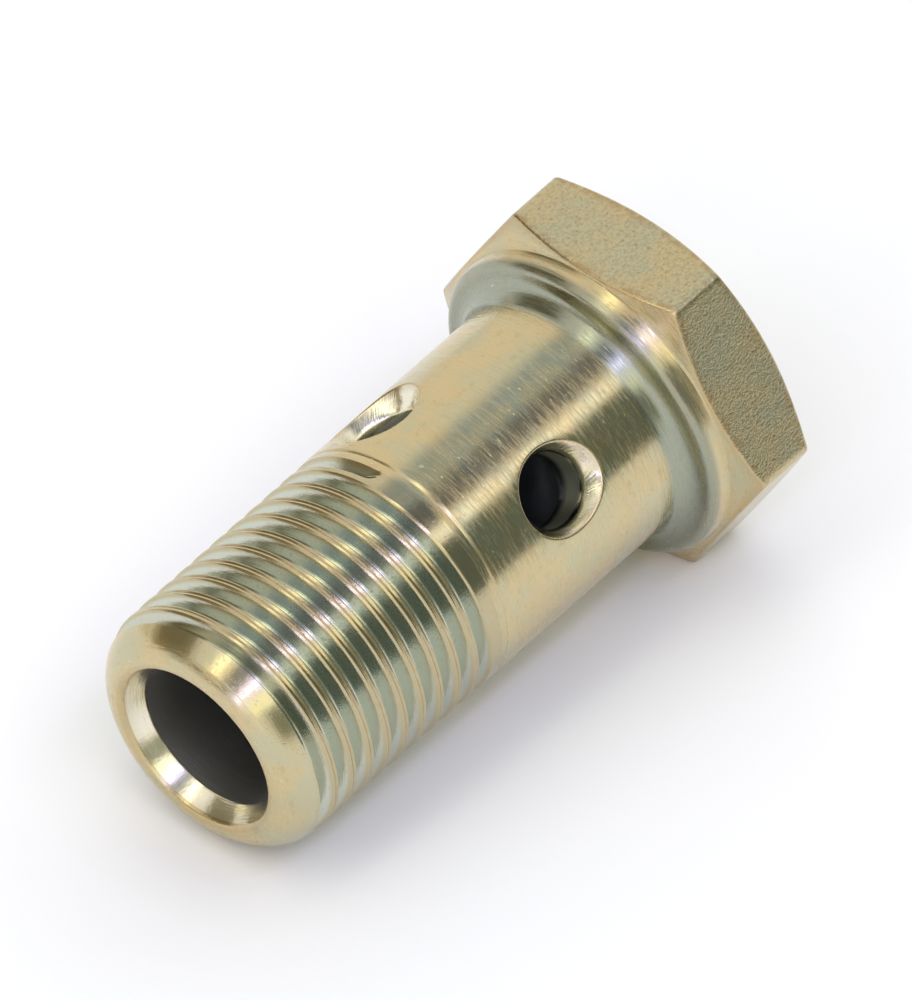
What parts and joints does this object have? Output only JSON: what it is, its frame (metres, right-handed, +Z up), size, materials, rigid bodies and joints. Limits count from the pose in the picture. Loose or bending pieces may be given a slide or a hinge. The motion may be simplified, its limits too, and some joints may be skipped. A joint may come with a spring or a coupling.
{
  "type": "banjo bolt",
  "caption": "Hollow steel union bolt with a hex head, round washer face, plain shank with cross drillings and a fine thread, bored up from the tip.",
  "frame": {"origin": "centre of the footprint box, on the surface that the bolt lies on", "axes": "+Z up; +X along the bolt from its tip to its head, level; the bolt's own axis lies in the XZ plane and rises 4.54 degrees toward the head"},
  "size_m": [0.0412, 0.024, 0.0213],
  "materials": {
    "plated_steel": "pale yellow zinc plating over turned and blasted steel"
  },
  "bodies": {
    "root": {"banjo_bolt": "plated_steel"}
  },
  "joints": []
}
